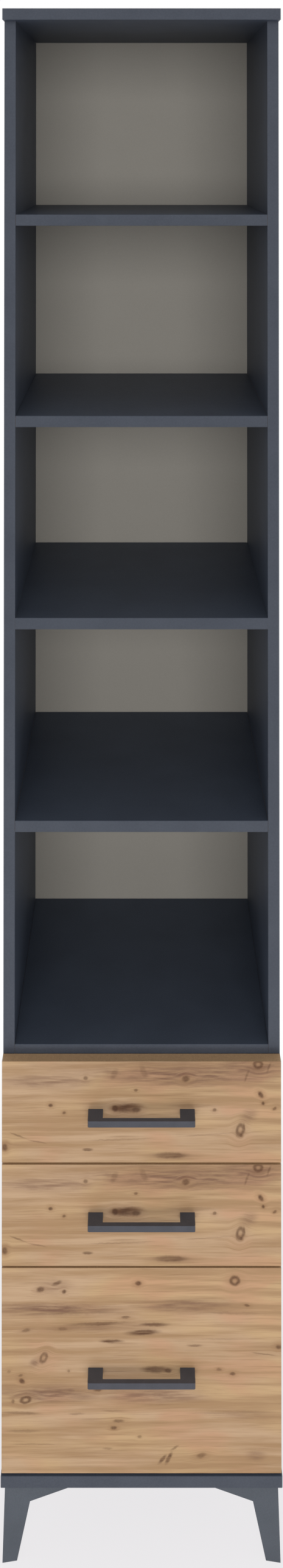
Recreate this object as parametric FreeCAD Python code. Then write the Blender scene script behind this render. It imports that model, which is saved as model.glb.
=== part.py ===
"""Narrow bookcase on corner legs: five open compartments over three drawers on roller runners.

Millimetres, +Z up, the front faces -Y. The origin is on the floor, at the middle of the bounding box.
"""
import FreeCAD, Part
import math
import os

from FreeCAD import Vector

# Carcass boards
CARCASS_WIDTH = 390.0
BOARD = 16.0
SHELF_DEPTH = 361.0
CAP_SIDE_OVERHANG = 1.0
CAP_FRONT_OVERHANG = 20.0

# Clear heights of the open compartments, from the drawer deck up
LOWEST_COMPARTMENT = 297.5
MIDDLE_COMPARTMENT = 269.5
MIDDLE_COUNT = 3
TOP_COMPARTMENT = 275.0

# Back panel, held in a groove of the sides and of the top and bottom panels
BACK_THICKNESS = 3.0
BACK_REAR_LIP = 16.0
GROOVE_DEPTH = 6.0
GROOVE_SLACK = 0.2
GROOVE_END_GAP = 0.5

# Fluted wooden dowels, two in each end of each board, drawn with flats
DOWEL_DIAMETER = 8.0
DOWEL_FLATS = 8
DOWEL_IN_FACE = 10.0
DOWEL_IN_END = 24.0
DOWEL_END_GAP = 0.5
DOWEL_SLACK = 0.05
DOWEL_FROM_EDGE = 52.0

# Corner legs
LEG_HEIGHT = 100.0
LEG_SIDE_INSET = 6.0
LEG_FRONT_SETBACK = 0.5
LEG_REAR_SETBACK = 6.0
LEG_WALL = 4.0
LEG_SPLAY = 3.0
LEG_WING_TOP = 88.0
LEG_WING_KNEE = 35.0
LEG_WING_FOOT = 17.0
LEG_KNEE_DROP = 18.5
LEG_PLATE_REACH = 58.0
LEG_PLATE_THICKNESS = 3.0
LEG_RIB_THICKNESS = 3.0
LEG_RIB_REACH = 30.0
LEG_RIB_DROP = 70.0
LEG_SOLE_THICKNESS = 4.0

# Drawer fronts, from the bottom panel up
DEEP_FRONT_HEIGHT = 283.0
SHALLOW_FRONT_HEIGHT = 140.0
FRONT_GAP = 3.0
FRONT_BOTTOM_REVEAL = 2.0
FRONT_STANDOFF = 1.5
DECK_COVERED = 4.0

# Drawer boxes
BOX_BOARD = 12.0
BOX_RISE = 18.0
BOX_TOP_DROP = 24.0
BOX_REAR_ROOM = 12.5
BOX_BACK_SETBACK = 10.0
BOX_BOTTOM_THICKNESS = 3.0
BOX_BOTTOM_RISE = 10.0
BOX_GROOVE_DEPTH = 6.0
BOX_JOINT_SLACK = 0.1
TONGUE_LENGTH = 5.0
TONGUE_THICKNESS = 6.0
DADO_DEPTH = 4.0

# Bar handles
HANDLE_PITCH = 128.0
HANDLE_FOOT = 20.5
HANDLE_HEIGHT = 8.5
HANDLE_PROJECTION = 23.5
HANDLE_BAR = 6.5
HANDLE_CORNER = 2.0
SCREW_DIAMETER = 4.0
SCREW_BITE = 10.0
SCREW_HEAD_DIAMETER = 8.0
SCREW_HEAD_HEIGHT = 2.5
SCREW_CLEARANCE = 0.2
THREAD_SLACK = 0.05

# Roller runners between each drawer box and the carcass sides
RUNNER_SPACE = 12.5
RAIL_STEEL = 1.2
RAIL_FLANGE = 10.0
RAIL_FRONT_SETBACK = 4.0
RAIL_REAR_ROOM = 12.0
RAIL_SUPPORT = 12.0
CHANNEL_HEIGHT = 22.4
TRACK_HEADROOM = 0.6
TRACK_EDGE_GAP = 1.3
ROLLER_WIDTH = 8.0
ROLLER_RUNNING_GAP = 0.3
ROLLER_SIDE_GAP = 0.4
FRONT_AXLE_SETBACK = 18.0
REAR_AXLE_SETBACK = 12.0
AXLE_DIAMETER = 5.0
AXLE_SLACK = 0.08
AXLE_TIP = 0.6
TRACK_END_GAP = 2.0
LOST_TRAVEL = 55.0
STOP_HEIGHT = 3.0
STOP_LENGTH = 4.0
STOP_SLACK = 0.5

# Places that follow from those sizes
HALF_WIDTH = CARCASS_WIDTH / 2
INNER_HALF = HALF_WIDTH - BOARD
CAP_HALF = HALF_WIDTH + CAP_SIDE_OVERHANG
SIDE_DEPTH = SHELF_DEPTH + BACK_THICKNESS + BACK_REAR_LIP
HANDLE_REACH = FRONT_STANDOFF + BOARD + HANDLE_PROJECTION
SIDE_FRONT = (HANDLE_REACH - SIDE_DEPTH) / 2
SIDE_REAR = SIDE_FRONT + SIDE_DEPTH
BACK_FACE = SIDE_FRONT + SHELF_DEPTH
CAP_FRONT = SIDE_FRONT - CAP_FRONT_OVERHANG
FRONT_REAR_FACE = SIDE_FRONT - FRONT_STANDOFF
FRONT_FACE = FRONT_REAR_FACE - BOARD

FLOOR_PANEL_TOP = LEG_HEIGHT + BOARD
DRAWER_HEIGHTS = {
    3: DEEP_FRONT_HEIGHT,
    2: SHALLOW_FRONT_HEIGHT,
    1: SHALLOW_FRONT_HEIGHT,
}
DECK_UNDERSIDE = (
    FLOOR_PANEL_TOP + FRONT_BOTTOM_REVEAL + sum(DRAWER_HEIGHTS.values())
    + FRONT_GAP * (len(DRAWER_HEIGHTS) - 1) - DECK_COVERED
)
BOX_HALF = INNER_HALF - RUNNER_SPACE
BOX_REAR = BACK_FACE - BOX_REAR_ROOM
RAIL_FRONT = SIDE_FRONT + RAIL_FRONT_SETBACK
RAIL_LENGTH = SHELF_DEPTH - RAIL_FRONT_SETBACK - RAIL_REAR_ROOM
RAIL_REAR = RAIL_FRONT + RAIL_LENGTH
CHANNEL_CEILING = RAIL_STEEL + CHANNEL_HEIGHT
TRACK_UNDERSIDE = CHANNEL_CEILING - TRACK_HEADROOM - RAIL_STEEL
FRONT_ROLLER_RADIUS = (TRACK_UNDERSIDE - RAIL_STEEL) / 2 - ROLLER_RUNNING_GAP
FRONT_AXLE_HEIGHT = (TRACK_UNDERSIDE + RAIL_STEEL) / 2
REAR_ROLLER_RADIUS = CHANNEL_HEIGHT / 2 - ROLLER_RUNNING_GAP
REAR_AXLE_HEIGHT = RAIL_STEEL + CHANNEL_HEIGHT / 2
FRONT_AXLE_Y = RAIL_FRONT + FRONT_AXLE_SETBACK
REAR_AXLE_Y = RAIL_REAR - REAR_AXLE_SETBACK
DRAWER_TRAVEL = REAR_AXLE_Y - FRONT_AXLE_Y - LOST_TRAVEL

X_AXIS = Vector(1, 0, 0)
Y_AXIS = Vector(0, 1, 0)
Z_AXIS = Vector(0, 0, 1)


def block(x0, x1, y0, y1, z0, z1):
    """A box between two corners."""
    return Part.makeBox(x1 - x0, y1 - y0, z1 - z0, Vector(x0, y0, z0))


def rod(start, axis, diameter, length):
    """A round bar from a point along an axis."""
    return Part.makeCylinder(diameter / 2, length, start, axis)


def fluted_rod(start, axis, across_flats, length):
    """A bar with flat flutes round it, from a point along an axis."""
    corner_radius = across_flats / 2 / math.cos(math.pi / DOWEL_FLATS)
    aside = axis.cross(Y_AXIS)
    points = []
    for corner in range(DOWEL_FLATS):
        angle = 2 * math.pi * (corner + 0.5) / DOWEL_FLATS
        points.append(start + (Y_AXIS * math.cos(angle) + aside * math.sin(angle)) * corner_radius)
    return prism(points, axis * length)


def prism(points, along):
    """A solid with a polygon outline, drawn out along a vector."""
    outline = Part.makePolygon(points + points[:1])
    return Part.Face(outline).extrude(along)


def faceted_loft(sections):
    """A solid through outlines of equally many points, with two triangles for each side of each stage."""
    faces = [Part.Face(Part.makePolygon(end + end[:1])) for end in (sections[0], sections[-1])]
    for lower, upper in zip(sections, sections[1:]):
        for index in range(len(lower)):
            after = (index + 1) % len(lower)
            for corners in ((lower[index], lower[after], upper[index]),
                            (lower[after], upper[after], upper[index])):
                faces.append(Part.Face(Part.makePolygon(corners + corners[:1])))
    return Part.Solid(Part.makeShell(faces))


def mirrored(shape):
    """The other hand of a piece, across the middle plane of the bookcase."""
    return shape.mirror(Vector(0, 0, 0), X_AXIS)


def shelf_levels():
    """Underside of each board between the sides, by node name."""
    levels = {"drawer_deck": DECK_UNDERSIDE}
    underside = DECK_UNDERSIDE + BOARD + LOWEST_COMPARTMENT
    for number in range(MIDDLE_COUNT + 1, 0, -1):
        levels["shelf_%d" % number] = underside
        underside += BOARD + MIDDLE_COMPARTMENT
    return levels


def side_top():
    """Height of the upper ends of the sides, under the top panel."""
    highest_shelf = max(shelf_levels().values())
    return highest_shelf + BOARD + TOP_COMPARTMENT


def dowel_places():
    """Y of the dowels in each board end."""
    return (SIDE_FRONT + DOWEL_FROM_EDGE, BACK_FACE - DOWEL_FROM_EDGE)


def right_dowels(slack, end_gap):
    """The dowels of the right side panel, or with slack and end gaps the holes that take them."""
    diameter = DOWEL_DIAMETER + 2 * slack
    length = DOWEL_IN_FACE + DOWEL_IN_END + 2 * end_gap
    centre = HALF_WIDTH - BOARD / 2
    pieces = []
    for y in dowel_places():
        low = Vector(centre, y, FLOOR_PANEL_TOP - DOWEL_IN_FACE - end_gap)
        high = Vector(centre, y, side_top() - DOWEL_IN_END - end_gap)
        pieces.append(fluted_rod(low, Z_AXIS, diameter, length))
        pieces.append(fluted_rod(high, Z_AXIS, diameter, length))
        for underside in shelf_levels().values():
            start = Vector(INNER_HALF - DOWEL_IN_END - end_gap, y, underside + BOARD / 2)
            pieces.append(fluted_rod(start, X_AXIS, diameter, length))
    return pieces


def carcass_dowels():
    """All dowels, right and left."""
    right = right_dowels(0.0, 0.0)
    return Part.makeCompound(right + [mirrored(dowel) for dowel in right])


def dowel_holes():
    """Cutter for every dowel hole of the carcass."""
    right = right_dowels(DOWEL_SLACK, DOWEL_END_GAP)
    return Part.makeCompound(right + [mirrored(hole) for hole in right])


def back_groove():
    """Cutter for the groove that holds the back panel on all four sides."""
    reach = INNER_HALF + GROOVE_DEPTH
    return block(-reach, reach, BACK_FACE, BACK_FACE + BACK_THICKNESS + GROOVE_SLACK,
                 FLOOR_PANEL_TOP - GROOVE_DEPTH, side_top() + GROOVE_DEPTH)


def carcass_panels():
    """The boards that make the case: top, bottom, two sides, shelves and drawer deck."""
    top = side_top()
    panels = {
        "bottom_panel": block(-CAP_HALF, CAP_HALF, CAP_FRONT, SIDE_REAR, LEG_HEIGHT, FLOOR_PANEL_TOP),
        "top_panel": block(-CAP_HALF, CAP_HALF, CAP_FRONT, SIDE_REAR, top, top + BOARD),
        "left_side_panel": block(-HALF_WIDTH, -INNER_HALF, SIDE_FRONT, SIDE_REAR, FLOOR_PANEL_TOP, top),
        "right_side_panel": block(INNER_HALF, HALF_WIDTH, SIDE_FRONT, SIDE_REAR, FLOOR_PANEL_TOP, top),
    }
    for name, underside in shelf_levels().items():
        panels[name] = block(-INNER_HALF, INNER_HALF, SIDE_FRONT, BACK_FACE, underside, underside + BOARD)
    cutters = [back_groove(), dowel_holes()]
    return {name: panel.cut(cutters) for name, panel in panels.items()}


def back_panel():
    """The thin panel in the groove, short of the groove's floor all round."""
    reach = INNER_HALF + GROOVE_DEPTH - GROOVE_END_GAP
    low = FLOOR_PANEL_TOP - GROOVE_DEPTH + GROOVE_END_GAP
    high = side_top() + GROOVE_DEPTH - GROOVE_END_GAP
    return block(-reach, reach, BACK_FACE, BACK_FACE + BACK_THICKNESS, low, high)


def leg_section(drop):
    """The leg's L outline at a depth under the bottom panel: corner leaning out, wings narrowing."""
    corner = -LEG_SPLAY * drop / LEG_HEIGHT
    if drop <= LEG_KNEE_DROP:
        share = drop / LEG_KNEE_DROP
        wing = LEG_WING_TOP + (LEG_WING_KNEE - LEG_WING_TOP) * share
    else:
        share = (drop - LEG_KNEE_DROP) / (LEG_HEIGHT - LEG_KNEE_DROP)
        wing = LEG_WING_KNEE + (LEG_WING_FOOT - LEG_WING_KNEE) * share
    inner = corner + LEG_WALL
    outline = [(corner, corner), (wing, 0.0), (wing, LEG_WALL), (inner, inner), (LEG_WALL, wing), (0.0, wing)]
    return [Vector(x, y, -drop) for x, y in outline]


def corner_leg():
    """One moulded leg with its corner edge at the origin and its wings along +X and +Y, hanging down."""
    shell = faceted_loft([leg_section(drop) for drop in (LEG_HEIGHT, LEG_KNEE_DROP, 0.0)])
    middle = LEG_WALL / 2
    plate = prism([Vector(middle, middle, -LEG_PLATE_THICKNESS),
                   Vector(LEG_PLATE_REACH, middle, -LEG_PLATE_THICKNESS),
                   Vector(middle, LEG_PLATE_REACH, -LEG_PLATE_THICKNESS)], Z_AXIS * LEG_PLATE_THICKNESS)
    sole_corner = middle - LEG_SPLAY
    sole_reach = LEG_WING_FOOT - middle
    sole = prism([Vector(sole_corner, sole_corner, -LEG_HEIGHT), Vector(sole_reach, middle, -LEG_HEIGHT),
                  Vector(middle, sole_reach, -LEG_HEIGHT)], Z_AXIS * LEG_SOLE_THICKNESS)
    across = Vector(1, -1, 0).normalize() * LEG_RIB_THICKNESS
    rib_start = Vector(middle, middle, 0) - across / 2
    rib_end = rib_start + Vector(LEG_RIB_REACH, LEG_RIB_REACH, 0)
    rib_low = rib_start - Z_AXIS * LEG_RIB_DROP
    rib = prism([rib_start, rib_end, rib_low], across)
    return shell.fuse([plate, sole, rib]).removeSplitter()


def corner_legs():
    """Four legs under the bottom panel, each turned to its corner."""
    front = CAP_FRONT + LEG_FRONT_SETBACK
    rear = SIDE_REAR - LEG_REAR_SETBACK
    front_left = corner_leg()
    front_left.translate(Vector(LEG_SIDE_INSET - CAP_HALF, front, LEG_HEIGHT))
    middle = Vector(0, (front + rear) / 2, 0)
    rear_left = front_left.mirror(middle, Y_AXIS)
    return {
        "front_left_leg": front_left,
        "front_right_leg": mirrored(front_left),
        "rear_left_leg": rear_left,
        "rear_right_leg": mirrored(rear_left),
    }


def front_levels():
    """Underside of each drawer front, by drawer number from the top."""
    levels = {}
    underside = FLOOR_PANEL_TOP + FRONT_BOTTOM_REVEAL
    for number, height in DRAWER_HEIGHTS.items():
        levels[number] = underside
        underside += height + FRONT_GAP
    return levels


def handle(centre_z):
    """A bar pull: two broad feet and a flat bar between them, with rounded outer corners."""
    half = (HANDLE_PITCH + HANDLE_FOOT) / 2
    window = (HANDLE_PITCH - HANDLE_FOOT) / 2
    nose = FRONT_FACE - HANDLE_PROJECTION
    low = centre_z - HANDLE_HEIGHT / 2
    body = block(-half, half, nose, FRONT_FACE, low, low + HANDLE_HEIGHT)
    finger_gap = block(-window, window, nose + HANDLE_BAR, FRONT_FACE, low, low + HANDLE_HEIGHT)
    pull = body.cut(finger_gap)
    corners = []
    for edge in pull.Edges:
        upright = edge.BoundBox.ZLength > HANDLE_HEIGHT / 2
        if upright and edge.BoundBox.YMax < nose + HANDLE_CORNER:
            corners.append(edge)
    pull = pull.makeFillet(HANDLE_CORNER, corners)
    threads = []
    for x in (-HANDLE_PITCH / 2, HANDLE_PITCH / 2):
        mouth = Vector(x, FRONT_FACE, centre_z)
        depth = SCREW_BITE + THREAD_SLACK
        threads.append(rod(mouth, -Y_AXIS, SCREW_DIAMETER + 2 * THREAD_SLACK, depth))
    return pull.cut(threads)


def handle_screws(centre_z):
    """Two screws from inside the drawer, through the front and into the handle's feet."""
    screws = []
    for x in (-HANDLE_PITCH / 2, HANDLE_PITCH / 2):
        seat = Vector(x, FRONT_REAR_FACE, centre_z)
        head = rod(seat, Y_AXIS, SCREW_HEAD_DIAMETER, SCREW_HEAD_HEIGHT)
        shank = rod(seat, -Y_AXIS, SCREW_DIAMETER, BOARD + SCREW_BITE)
        screws.append(head.fuse(shank))
    return Part.makeCompound(screws)


def box_levels(number):
    """Lower and upper edge of the sides of one drawer box."""
    low = front_levels()[number] + BOX_RISE
    high = front_levels()[number] + DRAWER_HEIGHTS[number] - BOX_TOP_DROP
    return low, high


def bottom_groove(number):
    """Cutter for the groove that takes the drawer bottom in the sides and the front."""
    low = box_levels(number)[0] + BOX_BOTTOM_RISE
    reach = BOX_HALF - BOX_BOARD + BOX_GROOVE_DEPTH
    return block(-reach, reach, FRONT_REAR_FACE - BOX_GROOVE_DEPTH, BOX_REAR,
                 low, low + BOX_BOTTOM_THICKNESS + GROOVE_SLACK)


def drawer_bottom(number):
    """Thin panel in the grooves, running under the drawer back."""
    low = box_levels(number)[0] + BOX_BOTTOM_RISE
    reach = BOX_HALF - BOX_BOARD + BOX_GROOVE_DEPTH - GROOVE_END_GAP
    front = FRONT_REAR_FACE - BOX_GROOVE_DEPTH + GROOVE_END_GAP
    return block(-reach, reach, front, BOX_REAR - BOX_BACK_SETBACK, low, low + BOX_BOTTOM_THICKNESS)


def drawer_back(number):
    """Board let into the sides, standing on the drawer bottom."""
    low, high = box_levels(number)
    low += BOX_BOTTOM_RISE + BOX_BOTTOM_THICKNESS
    reach = BOX_HALF - BOX_BOARD + DADO_DEPTH
    rear = BOX_REAR - BOX_BACK_SETBACK
    return block(-reach, reach, rear - BOX_BOARD, rear, low, high)


def tongue(number, slack):
    """The right side's tongue in the drawer front, or with slack the pocket that takes it."""
    low, high = box_levels(number)
    inner = BOX_HALF - BOX_BOARD
    return block(inner - slack, inner + TONGUE_THICKNESS + slack,
                 FRONT_REAR_FACE - TONGUE_LENGTH - slack, FRONT_REAR_FACE,
                 low - slack, high + slack)


def drawer_side(number):
    """Right side of a drawer box: tongue at the front, groove for the bottom, housing for the back."""
    low, high = box_levels(number)
    board = block(BOX_HALF - BOX_BOARD, BOX_HALF, FRONT_REAR_FACE, BOX_REAR, low, high)
    rear = BOX_REAR - BOX_BACK_SETBACK
    inner = BOX_HALF - BOX_BOARD
    housing = block(inner, inner + DADO_DEPTH + BOX_JOINT_SLACK,
                    rear - BOX_BOARD - BOX_JOINT_SLACK, rear, low, high)
    side = board.fuse(tongue(number, 0.0)).removeSplitter()
    return side.cut([bottom_groove(number), housing])


def drawer_front(number):
    """Decor front over the whole width, with pockets for the box and holes for the handle screws."""
    low = front_levels()[number]
    height = DRAWER_HEIGHTS[number]
    board = block(-HALF_WIDTH, HALF_WIDTH, FRONT_FACE, FRONT_REAR_FACE, low, low + height)
    pocket = tongue(number, BOX_JOINT_SLACK)
    cutters = [pocket, mirrored(pocket), bottom_groove(number)]
    for x in (-HANDLE_PITCH / 2, HANDLE_PITCH / 2):
        mouth = Vector(x, FRONT_FACE, low + height / 2)
        cutters.append(rod(mouth, Y_AXIS, SCREW_DIAMETER + 2 * SCREW_CLEARANCE, BOARD))
    return board.cut(cutters)


def axle(x, y, z, outward):
    """A riveted axle that reaches just through its roller, pointing along +X or -X."""
    length = ROLLER_SIDE_GAP + ROLLER_WIDTH + AXLE_TIP
    return rod(Vector(x, y, z), X_AXIS * outward, AXLE_DIAMETER, length)


def roller(x, y, z, outward, radius):
    """A roller on its axle, a side gap away from the rail."""
    along = X_AXIS * outward
    start = Vector(x, y, z) + along * ROLLER_SIDE_GAP
    tyre = rod(start, along, 2 * radius, ROLLER_WIDTH)
    bore = rod(start, along, AXLE_DIAMETER + 2 * AXLE_SLACK, ROLLER_WIDTH)
    return tyre.cut(bore)


def travel_stop(base_z):
    """The dimple in the channel that the drawer's rear roller meets at full travel."""
    drop = REAR_AXLE_HEIGHT - RAIL_STEEL - STOP_HEIGHT
    reach = math.sqrt(REAR_ROLLER_RADIUS ** 2 - drop ** 2)
    rear = REAR_AXLE_Y - DRAWER_TRAVEL - reach - STOP_SLACK
    floor = base_z + RAIL_STEEL
    ramp = [Vector(-INNER_HALF, rear, floor), Vector(-INNER_HALF, rear, floor + STOP_HEIGHT),
            Vector(-INNER_HALF, rear - STOP_LENGTH, floor)]
    return prism(ramp, X_AXIS * RAIL_FLANGE)


def cabinet_rail(number):
    """Left cabinet rail: a channel on the carcass side, open to the drawer, with the front axle."""
    base_z = box_levels(number)[0]
    wall = -INNER_HALF
    height = CHANNEL_CEILING + RAIL_STEEL
    channel = block(wall, wall + RAIL_FLANGE, RAIL_FRONT, RAIL_REAR, base_z, base_z + height)
    hollow = block(wall + RAIL_STEEL, wall + RAIL_FLANGE, RAIL_FRONT, RAIL_REAR,
                   base_z + RAIL_STEEL, base_z + CHANNEL_CEILING)
    pin = axle(wall + RAIL_STEEL, FRONT_AXLE_Y, base_z + FRONT_AXLE_HEIGHT, 1)
    return channel.cut(hollow).fuse([pin, travel_stop(base_z)]).removeSplitter()


def drawer_rail(number):
    """Left drawer rail: a Z section under the box side, its track over the front roller, its axle behind."""
    base_z = box_levels(number)[0]
    box_side = -BOX_HALF
    web = box_side - RAIL_STEEL
    track_edge = -INNER_HALF + RAIL_STEEL + TRACK_EDGE_GAP
    track = base_z + TRACK_UNDERSIDE
    section = [(web, base_z - RAIL_STEEL), (box_side + RAIL_SUPPORT, base_z - RAIL_STEEL),
               (box_side + RAIL_SUPPORT, base_z), (box_side, base_z),
               (box_side, track + RAIL_STEEL), (track_edge, track + RAIL_STEEL),
               (track_edge, track), (web, track)]
    bar = prism([Vector(x, RAIL_FRONT, z) for x, z in section], Y_AXIS * RAIL_LENGTH)
    track_end = REAR_AXLE_Y - REAR_ROLLER_RADIUS - TRACK_END_GAP
    notch = block(track_edge, web, track_end, RAIL_REAR, track, track + RAIL_STEEL)
    pin = axle(web, REAR_AXLE_Y, base_z + REAR_AXLE_HEIGHT, -1)
    return bar.cut(notch).fuse(pin)


def roller_pair(left):
    """Left and right rollers of one drawer."""
    return Part.makeCompound([left, mirrored(left)])


def drawer(number):
    """Every piece of one drawer and of its runners."""
    base_z = box_levels(number)[0]
    centre_z = front_levels()[number] + DRAWER_HEIGHTS[number] / 2
    right_side = drawer_side(number)
    left_cabinet_rail = cabinet_rail(number)
    left_drawer_rail = drawer_rail(number)
    front_roller = roller(RAIL_STEEL - INNER_HALF, FRONT_AXLE_Y, base_z + FRONT_AXLE_HEIGHT,
                          1, FRONT_ROLLER_RADIUS)
    rear_roller = roller(-BOX_HALF - RAIL_STEEL, REAR_AXLE_Y, base_z + REAR_AXLE_HEIGHT,
                         -1, REAR_ROLLER_RADIUS)
    pieces = {
        "front": drawer_front(number),
        "left_side": mirrored(right_side),
        "right_side": right_side,
        "back": drawer_back(number),
        "bottom": drawer_bottom(number),
        "handle": handle(centre_z),
        "handle_screws": handle_screws(centre_z),
        "left_drawer_rail": left_drawer_rail,
        "right_drawer_rail": mirrored(left_drawer_rail),
        "left_cabinet_rail": left_cabinet_rail,
        "right_cabinet_rail": mirrored(left_cabinet_rail),
        "front_rollers": roller_pair(front_roller),
        "rear_rollers": roller_pair(rear_roller),
    }
    return {"drawer_%d_%s" % (number, name): shape for name, shape in pieces.items()}


def bookcase():
    """Every piece of the bookcase by node name."""
    nodes = carcass_panels()
    nodes["back_panel"] = back_panel()
    nodes["carcass_dowels"] = carcass_dowels()
    nodes.update(corner_legs())
    for number in DRAWER_HEIGHTS:
        nodes.update(drawer(number))
    return nodes


def main():
    """Write one file for each node."""
    os.makedirs("parts", exist_ok=True)
    for name, shape in bookcase().items():
        shape.exportStep("parts/%s.step" % name)
    print("travel %.1f, height %.1f" % (DRAWER_TRAVEL, side_top() + BOARD))


if __name__ == "__main__":
    main()
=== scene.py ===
"""Looks of a narrow bookcase with three drawers: finishes, small fasteners, studio and camera.

Metres, +Z up, the front faces -Y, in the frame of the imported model. Sizes of finishes and
fasteners are written in millimetres and turned to metres where they are used.
"""

import logging
import math
from dataclasses import dataclass, replace
from enum import Enum
from typing import Callable, Optional, Sequence, Union

import bmesh
import bpy
from bpy.types import ID, Material, Node, NodeSocket, NodeTree, Object, World
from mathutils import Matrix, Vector


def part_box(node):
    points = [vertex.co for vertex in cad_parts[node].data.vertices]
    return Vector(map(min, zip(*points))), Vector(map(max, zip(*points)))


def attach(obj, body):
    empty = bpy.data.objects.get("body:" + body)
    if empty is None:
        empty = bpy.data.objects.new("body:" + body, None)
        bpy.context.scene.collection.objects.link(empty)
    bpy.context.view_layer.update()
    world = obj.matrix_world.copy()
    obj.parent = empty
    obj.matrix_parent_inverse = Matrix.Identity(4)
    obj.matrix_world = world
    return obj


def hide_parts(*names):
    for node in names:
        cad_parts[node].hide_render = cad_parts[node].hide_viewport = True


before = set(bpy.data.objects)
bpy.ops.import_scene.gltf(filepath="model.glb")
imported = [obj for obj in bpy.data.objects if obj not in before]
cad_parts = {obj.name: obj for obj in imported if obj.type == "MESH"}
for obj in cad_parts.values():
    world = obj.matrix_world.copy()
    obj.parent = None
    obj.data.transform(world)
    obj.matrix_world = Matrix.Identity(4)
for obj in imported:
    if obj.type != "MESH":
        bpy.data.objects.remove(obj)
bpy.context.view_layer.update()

LOG = logging.getLogger("bookcase")
MM = 0.001

# Sockets of a colour mix node, whose names repeat
MIX_FACTOR = 0
MIX_A = 6
MIX_B = 7
MIX_COLOUR = 2

# Nearly all values of a noise lie between these two, round its middle
NOISE_LOW = 0.3
NOISE_HIGH = 0.7
NOISE_MIDDLE = (0.5, 0.5, 0.5)

# How finely the faces of a mesh are told apart, joined and broken at their edges
NEAR_FACE_MM = 0.05
SQUARE_ON = 0.99
WELD_MM = 0.005
FLAT_DEG = 0.5
ARRIS_DEG = 40.0
ARRIS_SEGMENTS = 2
CREASE_DEG = 35.0

Colour = tuple[float, float, float, float]
SocketKey = Union[str, int]


def linear(hex_colour: str) -> Colour:
    """Turn an sRGB colour into linear light.

    Args:
        hex_colour: The colour as "#RRGGBB".

    Returns:
        Red, green and blue in linear light, and an alpha of one.
    """
    channels = [int(hex_colour[start:start + 2], 16) / 255 for start in (1, 3, 5)]
    red, green, blue = [value / 12.92 if value <= 0.04045 else ((value + 0.055) / 1.055) ** 2.4
                        for value in channels]
    return red, green, blue, 1.0


def per_metre(size_mm: float) -> float:
    """Give the texture scale at which a pattern's cells have this size."""
    return 1 / (size_mm * MM)


def add_node(tree: NodeTree, kind: str, inputs: Optional[dict[SocketKey, object]] = None,
             **settings: object) -> Node:
    """Add one shader node with its settings, values and links.

    Args:
        tree: The node tree to add to.
        kind: Blender's name for the node.
        inputs: A value, or the socket to link from, for each input socket.
        **settings: Properties of the node.

    Returns:
        The new node.
    """
    node = tree.nodes.new(kind)
    for name, value in settings.items():
        setattr(node, name, value)
    for key, value in (inputs or {}).items():
        if isinstance(value, NodeSocket):
            tree.links.new(value, node.inputs[key])
        else:
            node.inputs[key].default_value = value
    return node


def empty_tree(owner: Union[Material, World]) -> NodeTree:
    """Give a material or a world an empty node tree.

    Args:
        owner: The material or the world.

    Returns:
        Its node tree.
    """
    owner.use_nodes = True
    owner.node_tree.nodes.clear()
    return owner.node_tree


def new_object(name: str, data: ID) -> Object:
    """Add an object to the scene.

    Args:
        name: The object's name.
        data: The mesh, light or camera that it shows.

    Returns:
        The new object.
    """
    made = bpy.data.objects.new(name, data)
    bpy.context.scene.collection.objects.link(made)
    return made


@dataclass(frozen=True)
class Finish:
    """A surface made in one way. Each kind adds its own texture to a plain shader."""

    name: str
    colour: str
    roughness: float
    ior: float = 1.5
    specular: float = 0.5
    metallic: float = 0.0
    gloss_spread: float = 0.06

    def material(self) -> Material:
        """Make the material, or find it where another piece has asked for it already.

        Returns:
            The material.
        """
        made = bpy.data.materials.get(self.name)
        if made is None:
            made = bpy.data.materials.new(self.name)
            tree = empty_tree(made)
            shader = add_node(tree, "ShaderNodeBsdfPrincipled", {
                "Base Color": linear(self.colour), "Roughness": self.roughness, "Metallic": self.metallic,
                "IOR": self.ior, "Specular IOR Level": self.specular})
            add_node(tree, "ShaderNodeOutputMaterial", {"Surface": shader.outputs["BSDF"]})
            self.texture(tree, shader)
        return made

    def texture(self, tree: NodeTree, shader: Node) -> None:
        """Add what varies over the surface."""
        raise NotImplementedError

    def tint(self, tree: NodeTree, shader: Node, share: NodeSocket, tone: str) -> None:
        """Mix a second tone into the colour.

        Args:
            tree: The material's node tree.
            shader: The shader whose colour is set.
            share: The second tone's share, from zero to one.
            tone: The second tone.
        """
        mixed = add_node(tree, "ShaderNodeMix", {
            MIX_FACTOR: share, MIX_A: linear(self.colour), MIX_B: linear(tone)}, data_type="RGBA")
        tree.links.new(mixed.outputs[MIX_COLOUR], shader.inputs["Base Color"])

    def emboss(self, tree: NodeTree, shader: Node, height: NodeSocket, depth_mm: float) -> None:
        """Let a pattern stand up from the surface, duller where it is high.

        Args:
            tree: The material's node tree.
            shader: The shader whose normal is bent.
            height: The pattern, from zero to one.
            depth_mm: How far the pattern's ones stand over its zeros.
        """
        bump = add_node(tree, "ShaderNodeBump", {"Height": height, "Distance": depth_mm * MM})
        gloss = add_node(tree, "ShaderNodeMapRange", {
            "Value": height, "To Min": self.roughness - self.gloss_spread,
            "To Max": self.roughness + self.gloss_spread})
        tree.links.new(bump.outputs["Normal"], shader.inputs["Normal"])
        tree.links.new(gloss.outputs["Result"], shader.inputs["Roughness"])


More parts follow.
